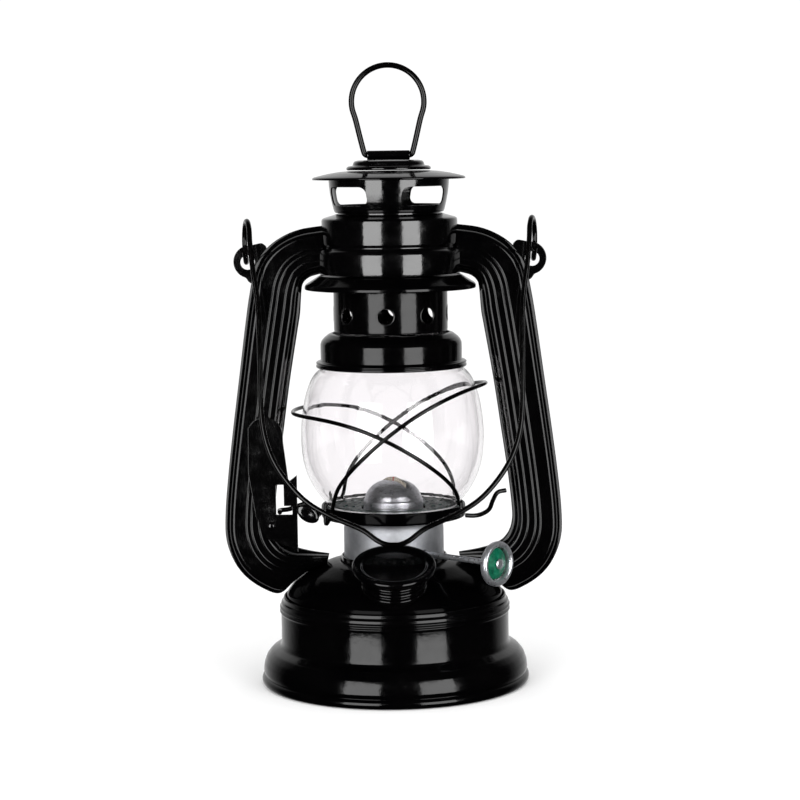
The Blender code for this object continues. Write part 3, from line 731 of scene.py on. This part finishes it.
def half_section():
    """The whole section of a pressed half, across the tube."""
    outline = list(SIDE)
    for centre in RIB_CENTRES:
        outline += [(centre - 0.045, 0.915), (centre - 0.030, 0.916), (centre - 0.012, 0.93),
                    (centre, 0.936), (centre + 0.012, 0.93), (centre + 0.030, 0.916),
                    (centre + 0.045, 0.915)]
    outline += [(-across, depth) for across, depth in reversed(SIDE)]
    return outline + [(0.78, 0.02), (0.68, 0.46), (0.5, 0.62), (-0.5, 0.62), (-0.68, 0.46),
                      (-0.78, 0.02)]


def build_tube_half(node, side, face):
    """One pressed half of a side tube: side is -1 left or 1 right, face -1 front or 1 back."""
    inner_path = smooth_path([(*inner, depth) for inner, outer, depth in TUBE_STATIONS], 6)
    outer_path = smooth_path([(*outer, depth) for inner, outer, depth in TUBE_STATIONS], 6)
    section = half_section()
    shape = bmesh.new()
    rings = []
    for inner, outer in zip(inner_path, outer_path):
        ring = []
        for across, out in section:
            point = inner.lerp(outer, (across + 1.0) / 2.0)
            depth = min(point.z, TUBE_DEPTH) * out
            ring.append(shape.verts.new((side * point.x * MM, face * depth * MM, point.y * MM)))
        rings.append(ring)
    count = len(section)
    for low, high in zip(rings, rings[1:]):
        for i in range(count):
            j = (i + 1) % count
            shape.faces.new((low[i], low[j], high[j], high[i]))
    shape.faces.new(rings[0])
    shape.faces.new(list(reversed(rings[-1])))
    bmesh.ops.triangulate(shape, faces=[f for f in shape.faces if len(f.verts) > 4])
    bmesh.ops.recalc_face_normals(shape, faces=shape.faces)
    mesh = bpy.data.meshes.new(node + "_fine")
    shape.to_mesh(mesh)
    shape.free()
    mesh.shade_smooth()
    mesh.set_sharp_from_angle(angle=TUBE_SHARP)
    stand_for(link_object(node + "_fine", mesh, DULLED), node)


def build_lug(node, side):
    """Ear that the bail's eye passes through: side is -1 left or 1 right."""
    bow = arc_points(LUG_X, LUG_Z, LUG_R, [95 - 8.5 * i for i in range(21)])
    outline = ([(54.2, 195.0), (56.4, 196.9), (59.4, 196.3)] + bow
               + [(62.6, 179.6), (60.2, 178.4), (59.6, 182.4), (57.4, 187.0), (55.2, 191.4)])
    outline = rounded([(side * x, z) for x, z in outline], 1.0, arc=4)
    hole = arc_points(side * LUG_HOLE[0], LUG_HOLE[1], LUG_HOLE_R, [9 * i for i in range(40)])
    stand_for(plate(node + "_fine", outline, 1.2, -0.6, ENAMEL, [hole]), node)


def build_catch_bracket():
    """Plate on the left tube with the lever's L-shaped slot, and its rivet."""
    head = arc_points(*BRACKET_HEAD, BRACKET_HEAD_R, [160 - 8 * i for i in range(21)])
    outline = head + [(-48.3, 109.0), (-46.2, 91.6), (-42.5, 94.4), (-42.5, 60.0),
                      (-47.0, 62.6), (-56.0, 66.0), (-61.0, 76.0), (-64.0, 96.0)]
    slot = [(-51.9, 76.8), (-51.9, 90.2), (-48.5, 90.2), (-48.5, 80.7), (-44.8, 80.7),
            (-44.8, 76.8)]
    bracket = plate("catch_bracket_fine", outline, 1.0, -TUBE_DEPTH - 1.3, ENAMEL,
                    [rounded(slot, 0.4)], bevel=0.12)
    stand_for(bracket, "catch_bracket")
    place = (Matrix.Translation(Vector((-54.2, -TUBE_DEPTH - 1.6, 71.8)) * MM)
             @ Matrix.Rotation(pi / 2, 4, "X"))
    turned_node("catch_rivet", [(0.0, 0.85), (1.0, 0.75), (1.6, 0.35), (1.8, 0.0), (0.0, 0.0)],
                ENAMEL, fillet=0.2, steps=FEWEST_STEPS, closed=False, place=place)


def build_hood():
    turned_node("hood", [
        (23.4, 209.2), (24.4, 208.7), (28.9, 207.4), (29.8, 206.9), (30.0, 206.0),
        (30.0, 196.0), (29.4, 195.0), (29.5, 194.3), (30.1, 193.8), (31.2, 192.9),
        (31.55, 191.6), (31.55, 185.0), (31.3, 182.7), (30.5, 182.7), (30.8, 188.0),
        (30.5, 192.3), (28.9, 193.5), (28.6, 194.9), (29.2, 196.2), (29.2, 205.7),
        (28.4, 206.7), (24.2, 208.0), (23.4, 208.5)], ENAMEL, fillet=0.5)
    turned_node("hood_skirt", [
        (31.0, 182.3), (32.2, 181.6), (34.2, 180.3), (36.1, 179.1), (37.4, 178.3),
        (37.95, 177.5), (37.95, 176.1), (37.35, 176.1), (37.2, 177.0), (35.5, 178.2),
        (33.6, 179.5), (31.8, 180.7), (31.0, 181.3)], DULLED, fillet=0.5)


def build_frame():
    for side_name, side in (("left", -1), ("right", 1)):
        build_tube_half(f"side_tube_{side_name}_front", side, -1)
        build_tube_half(f"side_tube_{side_name}_back", side, 1)
        build_lug(f"bail_lug_{side_name}", side)
    build_catch_bracket()
    build_hood()


# ---------------------------------------------------------------- globe and gallery

# The outside of the glass, from its foot up: (radius, z).
GLOBE_OUTLINE = [
    (29.6, 79.6), (29.6, 80.6), (31.9, 83.2), (35.6, 88.5), (38.6, 95.0), (40.2, 102.0),
    (40.7, 110.5), (40.3, 118.0), (39.0, 126.5), (36.9, 133.5), (34.8, 137.6),
    (32.3, 140.2), (29.6, 142.2), (27.2, 143.8), (25.6, 146.0), (25.5, 150.2)]
GLOBE_WALL = 1.6
GLOBE_LIMIT_R = 40.68      # smoothing may not push the glass out past this
GLOBE_MID_Z = 110.5        # the globe is widest here


def globe_radius(z):
    """The globe's outer radius at the height z."""
    for (r0, z0), (r1, z1) in zip(GLOBE_OUTLINE, GLOBE_OUTLINE[1:]):
        if z <= z1:
            return r0 + (r1 - r0) * max(0.0, z - z0) / (z1 - z0)
    return GLOBE_OUTLINE[-1][0]


def build_globe():
    skin = [(p.x, p.y) for p in smooth_path([(r, z, 0.0) for r, z in GLOBE_OUTLINE[1:]], 6)]
    skin = [GLOBE_OUTLINE[0]] + [(min(r, GLOBE_LIMIT_R), z) for r, z in skin]
    inner = [(r - GLOBE_WALL, z) for r, z in skin]
    turned_node("glass_globe", list(reversed(skin)) + inner, GLASS, fillet=0.4)


def guard_path(mirror, standoff, height, lift, bow, back_drop, tip_r):
    """A guard wire: up from one foot, round the globe and down to the other.

    mirror is 1 or -1, for a wire whose tip is at +X or -X. The loop stands off the
    globe; its height rises with x by lift, sags by bow and falls toward the back by
    back_drop. tip_r is how far the tip stands out.
    """
    loop = []
    for step in range(33):
        turn = radians(GUARD_SPAN * step / 32 - GUARD_SPAN / 2)
        x_rough, y_rough = GLOBE_R * cos(turn), GLOBE_R * sin(turn)
        z = height + lift * x_rough - bow * x_rough ** 2 - back_drop * y_rough
        clear = globe_radius(min(z, GLOBE_MID_Z)) + standoff
        radius = clear + (tip_r - clear) * max(0.0, cos(turn)) ** 3
        loop.append((radius * cos(turn), radius * sin(turn), z))
    feet = []
    for foot in (loop[0], loop[-1]):
        scale = GUARD_FOOT_R / sqrt(foot[0] ** 2 + foot[1] ** 2)
        feet.append((foot[0] * scale, foot[1] * scale))
    path = ([(*feet[0], 75.7), (*feet[0], 79.6), (*feet[0], 82.0)] + loop
            + [(*feet[1], 82.0), (*feet[1], 79.6), (*feet[1], 75.7)])
    return smooth_path([(mirror * x, y, z) for x, y, z in path], 5)


def build_thumb_tab():
    """Oval thumb piece with a dished middle, in front of the lever."""
    shape = bmesh.new()
    rings = []
    for row in range(1, TAB_ROWS):
        polar = pi * row / TAB_ROWS
        ring = []
        for i in range(TINY_STEPS):
            turn = 2 * pi * i / TINY_STEPS
            ring.append(shape.verts.new((sin(polar) * cos(turn), sin(polar) * sin(turn),
                                         cos(polar))))
        rings.append(ring)
    top = shape.verts.new((0.0, 0.0, 1.0))
    bottom = shape.verts.new((0.0, 0.0, -1.0))
    for i in range(TINY_STEPS):
        j = (i + 1) % TINY_STEPS
        shape.faces.new((top, rings[0][i], rings[0][j]))
        for high, low in zip(rings, rings[1:]):
            shape.faces.new((high[i], low[i], low[j], high[j]))
        shape.faces.new((bottom, rings[-1][j], rings[-1][i]))
    for vert in shape.verts:
        spread = sqrt(vert.co.x ** 2 + vert.co.z ** 2)
        if vert.co.y < 0.0:
            vert.co.y *= 0.45 + 0.55 * min(1.0, spread / 0.7)
    bmesh.ops.scale(shape, vec=Vector(TAB_HALF_SIZE) * MM, verts=shape.verts)
    mesh = bpy.data.meshes.new("thumb_tab_fine")
    shape.to_mesh(mesh)
    shape.free()
    tab = link_object("thumb_tab_fine", mesh, ENAMEL)
    tab.rotation_euler = (0.0, TAB_TURN, 0.0)
    tab.location = Vector(TAB_CENTRE) * MM
    stand_for(apply_modifiers(tab), "thumb_tab")


def build_gallery():
    turned_node("gallery_ring", [
        (32.0, 79.9), (32.2, 79.2), (32.15, 75.2), (31.9, 74.5), (31.3, 74.5), (31.1, 77.2),
        (26.0, 77.2), (26.0, 78.0), (30.2, 78.1), (30.4, 79.3), (30.9, 79.9)],
        MATT, fillet=0.35)
    disc = turned("gallery_plate_fine",
                  [(29.4, 79.2), (29.4, 78.5), (14.4, 78.5), (14.4, 79.2)], GALLERY, fillet=0.15)
    drills = bmesh.new()
    for radius, count, offset in PLATE_HOLES:
        for i in range(count):
            angle = 2 * pi * (i + offset) / count
            place = Matrix.Translation((radius * MM * cos(angle), radius * MM * sin(angle),
                                        78.8 * MM))
            bmesh.ops.create_cone(drills, cap_ends=True, segments=12,
                                  radius1=PLATE_HOLE_R * MM, radius2=PLATE_HOLE_R * MM,
                                  depth=6.0 * MM, matrix=place)
    mesh = bpy.data.meshes.new("drills")
    drills.to_mesh(mesh)
    drills.free()
    tool = link_object("drill_tool", mesh, GALLERY)
    cut(disc, tool)
    apply_modifiers(disc)
    discard(tool)
    stand_for(disc, "gallery_plate")
    wire_node("guard_wire_a", guard_path(1, standoff=3.6, height=113.8, lift=0.83, bow=0.0085,
                                         back_drop=0.065, tip_r=41.8), GUARD_WIRE_R)
    wire_node("guard_wire_b", guard_path(-1, standoff=1.6, height=111.6, lift=0.55, bow=0.0075,
                                         back_drop=0.0, tip_r=44.2), GUARD_WIRE_R)
    wire_node("stay_arm", smooth_path([
        (32.0, -10.6, 75.6), (35.6, -9.4, 75.2), (39.2, -7.6, 75.6), (42.6, -5.4, 77.4),
        (44.4, -3.0, 81.0), (46.6, -1.0, 84.2), (50.4, 0.0, 85.0)]), STAY_WIRE_R)
    wire_node("thumb_lever", smooth_path([
        (-32.4, -9.2, 76.2), (-35.0, -8.0, 78.6), (-38.6, -6.6, 81.0), (-42.4, -6.4, 80.2),
        (-46.4, -6.4, 78.8), (-50.2, -6.6, 78.4), (-50.2, -9.0, 78.4), (-50.2, -12.4, 78.4)]),
        LEVER_WIRE_R)
    build_thumb_tab()


# ---------------------------------------------------------------- chimney

def build_lower_chimney():
    turned_node("globe_collar", [
        (26.0, 156.7), (27.6, 156.2), (29.6, 154.7), (30.8, 153.3), (31.35, 151.9),
        (31.4, 150.0), (31.35, 144.6), (31.9, 144.2), (33.0, 144.0), (33.55, 143.5),
        (33.1, 142.9), (33.5, 142.3), (33.4, 141.5), (32.7, 141.4), (32.2, 142.4),
        (30.7, 143.2), (30.7, 151.1), (30.1, 152.5), (28.1, 154.7), (26.0, 155.9)],
        DULLED, fillet=0.4)
    chimney = turned("lower_chimney_fine", [
        (25.25, 178.4), (25.25, 158.4), (25.1, 157.1), (24.5, 157.1), (24.5, 178.4)],
        DULLED, fillet=0.3)
    tools = []
    for index in range(4):
        place = (turn_about_z(VENT_TURN + index * pi / 4, VENT_Z)
                 @ Matrix.Rotation(pi / 2, 4, "X"))
        tools.append(cylinder(f"vent_tool_{index}", VENT_R, 80.0, ENAMEL, place, FEWEST_STEPS))
        cut(chimney, tools[-1])
    apply_modifiers(chimney)
    discard(*tools)
    stand_for(chimney, "lower_chimney")
    for index in range(8):
        spin = Matrix.Rotation(VENT_TURN + index * pi / 4, 3, "Z")
        ring = []
        for step in range(TINY_STEPS):
            turn = 2 * pi * step / TINY_STEPS
            across, up = RIM_R * cos(turn), RIM_R * sin(turn)
            out = sqrt(RIM_SEAT_R ** 2 - across ** 2)
            ring.append(spin @ Vector((across, -out, VENT_Z + up)))
        rim = wire(f"vent_rim_{index + 1}", ring, RIM_WIRE_R, ENAMEL, cyclic=True)
        add_on(rim, "lower_chimney")
    turned_node("chimney_flue", [(22.7, 211.6), (22.7, 171.0), (22.0, 171.0), (22.0, 211.6)],
                ENAMEL, fillet=0.2)


def build_crown():
    crown = turned("vent_crown_fine", [
        (26.6, 225.2), (26.45, 222.0), (26.0, 218.0), (25.3, 214.4), (24.5, 211.0),
        (24.0, 209.7), (23.2, 209.7), (23.7, 211.2), (24.5, 214.6), (25.2, 218.0),
        (25.6, 221.6), (25.8, 225.2)], ENAMEL, fillet=0.4)
    bars = []
    for index in range(2):
        place = turn_about_z(VENT_TURN + pi / 4 + index * pi / 2, 217.0)
        bars.append(block(f"window_tool_{index}", (24.2, 70.0, 8.1), ENAMEL, place, 3.0, 6))
        cut(crown, bars[-1])
    apply_modifiers(crown)
    discard(*bars)
    stand_for(crown, "vent_crown")
    turned_node("canopy", [
        (18.4, 227.8), (22.0, 227.5), (26.5, 226.8), (31.0, 225.8), (33.2, 225.2),
        (33.85, 224.7), (33.6, 224.0), (32.7, 224.3), (27.6, 225.6), (25.0, 226.2),
        (18.4, 227.0)], DULLED, fillet=0.5)
    turned_node("crown_cap", [
        (0.0, 232.3), (10.5, 232.5), (13.2, 232.5), (15.0, 232.1), (15.6, 231.3),
        (15.8, 230.2), (17.8, 229.9), (18.6, 229.3), (18.7, 228.6), (18.2, 228.2),
        (0.0, 228.2)], ENAMEL, fillet=0.4, steps=MEDIUM_STEPS, closed=False)
    place = Matrix.Translation((0.0, 0.0, BARREL_Z * MM)) @ Matrix.Rotation(pi / 2, 4, "Y")
    turned_node("ring_barrel", [(2.05, 9.4), (2.1, 8.6), (2.1, -8.6), (2.05, -9.4), (1.5, -9.4),
                                (1.5, 9.4)], ENAMEL, fillet=0.25, steps=TINY_STEPS, place=place)


# ---------------------------------------------------------------- handles

def build_top_ring():
    half = [(5.2, 0.0, BARREL_Z), (8.8, 0.0, BARREL_Z), (10.2, 0.0, BARREL_Z + 0.5),
            (10.9, 0.0, BARREL_Z + 2.0), (12.4, 0.0, BARREL_Z + 8.0),
            (14.2, 0.0, BARREL_Z + 15.6)]
    arch = [(x, 0.0, z) for x, z in
            arc_points(0.0, RING_CENTRE_Z, RING_R, [12 * i - 12 for i in range(18)])]
    left = [(-x, y, z) for x, y, z in reversed(half)]
    wire_node("top_ring", smooth_path(half + arch + left, 6), RING_WIRE_R)


def bail_point(x, drop):
    """A point on the right leg, this far down it from the eye."""
    lean = radians(BAIL_LEAN)
    attach = pi / 2 + lean
    y = -EYE_R * sin(attach) - drop * sin(lean)
    z = EYE_Z - EYE_R * cos(attach) - drop * cos(lean)
    return (x, y, z)


def build_bail():
    eye = []
    for i in range(20):
        turn = EYE_END - (EYE_END - EYE_START) * i / 20
        passing = max(0.0, (turn - EYE_CROSSING) / (EYE_END - EYE_CROSSING))
        rise, reach = cos(radians(turn)), sin(radians(turn))
        eye.append((EYE_X - EYE_R * tan(EYE_TURN) * reach + EYE_STEP * passing,
                    -EYE_R * reach, EYE_Z - EYE_R * rise))
    leg = [(61.1, 3.0), (60.0, 14.0), (57.6, 32.0), (56.8, 58.0), (56.2, 80.0), (53.4, 94.0),
           (47.6, 105.5), (38.0, 116.6), (27.0, 123.6), (14.0, 129.4), (7.0, 134.4),
           (3.0, 136.2), (0.0, 136.4)]
    right = eye + [bail_point(x, drop) for x, drop in leg]
    left = [(-x, y, z) for x, y, z in reversed(right[:-1])]
    wire_node("bail", smooth_path(right + left, 6), BAIL_WIRE_R)


# ---------------------------------------------------------------- studio

def build_floor():
    floor_mesh = bpy.data.meshes.new("floor")
    shape = bmesh.new()
    bmesh.ops.create_grid(shape, x_segments=1, y_segments=1, size=30.0)
    shape.to_mesh(floor_mesh)
    shape.free()
    paper = bpy.data.materials.new("studio_paper")
    paper.use_nodes = True
    shader = paper.node_tree.nodes["Principled BSDF"]
    shader.inputs["Base Color"].default_value = (FLOOR_GREY, FLOOR_GREY, FLOOR_GREY, 1.0)
    shader.inputs["Roughness"].default_value = 0.9
    shader.inputs["Specular IOR Level"].default_value = 0.0
    floor = link_object("studio_floor", floor_mesh, paper)
    floor.location = (0.0, 0.0, -0.0002)
    floor.visible_glossy = False


def build_world():
    """White light all round, of which glossy pieces see only a pale wall behind them."""
    world = bpy.data.worlds.new("studio")
    bpy.context.scene.world = world
    world.use_nodes = True
    tree = world.node_tree

    white = tree.nodes["Background"]
    white.inputs["Color"].default_value = (1.0, 1.0, 1.0, 1.0)
    white.inputs["Strength"].default_value = WORLD_LIGHT

    direction = tree.nodes.new("ShaderNodeTexCoord")
    split = tree.nodes.new("ShaderNodeSeparateXYZ")
    tree.links.new(direction.outputs["Generated"], split.inputs["Vector"])
    wall = tree.nodes.new("ShaderNodeMapRange")
    wall.interpolation_type = "SMOOTHSTEP"
    wall.inputs["From Min"].default_value = WALL_EDGE
    wall.inputs["From Max"].default_value = WALL_FULL
    wall.inputs["To Min"].default_value = WORLD_REFLECTED
    wall.inputs["To Max"].default_value = WALL_REFLECTED
    tree.links.new(split.outputs["Y"], wall.inputs["Value"])
    reflected = tree.nodes.new("ShaderNodeBackground")
    reflected.inputs["Color"].default_value = (1.0, 1.0, 1.0, 1.0)
    tree.links.new(wall.outputs["Result"], reflected.inputs["Strength"])

    path = tree.nodes.new("ShaderNodeLightPath")
    mix = tree.nodes.new("ShaderNodeMixShader")
    tree.links.new(path.outputs["Is Glossy Ray"], mix.inputs[0])
    tree.links.new(white.outputs[0], mix.inputs[1])
    tree.links.new(reflected.outputs[0], mix.inputs[2])
    tree.links.new(mix.outputs[0], tree.nodes["World Output"].inputs["Surface"])


def softbox(name, azimuth):
    """A soft light at that many degrees round the lantern: 0 is the front, + to the right."""
    data = bpy.data.lights.new(name, "AREA")
    data.shape = "RECTANGLE"
    data.size, data.size_y = SOFTBOX_SIZE
    data.energy = SOFTBOX_POWER
    light = bpy.data.objects.new(name, data)
    bpy.context.scene.collection.objects.link(light)
    turn = radians(azimuth)
    light.location = (SOFTBOX_DISTANCE * sin(turn), -SOFTBOX_DISTANCE * cos(turn), SOFTBOX_HEIGHT)
    aim = Vector(SOFTBOX_AIM) - light.location
    light.rotation_euler = aim.to_track_quat("-Z", "Y").to_euler()


def build_camera():
    aim = Vector(CAMERA_AIM)
    data = bpy.data.cameras.new("camera")
    data.lens = CAMERA_LENS
    data.sensor_width = 36.0
    data.clip_end = 20.0
    camera = bpy.data.objects.new("camera", data)
    bpy.context.scene.collection.objects.link(camera)
    camera.location = aim + Vector((0.0, -CAMERA_DISTANCE * cos(CAMERA_PITCH),
                                    CAMERA_DISTANCE * sin(CAMERA_PITCH)))
    look = (aim - camera.location).to_track_quat("-Z", "Y").to_matrix().to_4x4()
    roll = Matrix.Rotation(CAMERA_ROLL, 4, "Z")
    camera.matrix_world = Matrix.Translation(camera.location) @ look @ roll
    bpy.context.scene.camera = camera


build_camera()
build_tank()
build_filler()
build_burner()
build_wick()
build_wick_knob()
build_frame()
build_globe()
build_gallery()
build_lower_chimney()
build_crown()
build_top_ring()
build_bail()
build_floor()
build_world()
softbox("softbox_left", -29.0)
softbox("softbox_right", 36.5)
bpy.context.scene.view_settings.view_transform = "Standard"

bpy.context.view_layer.update()
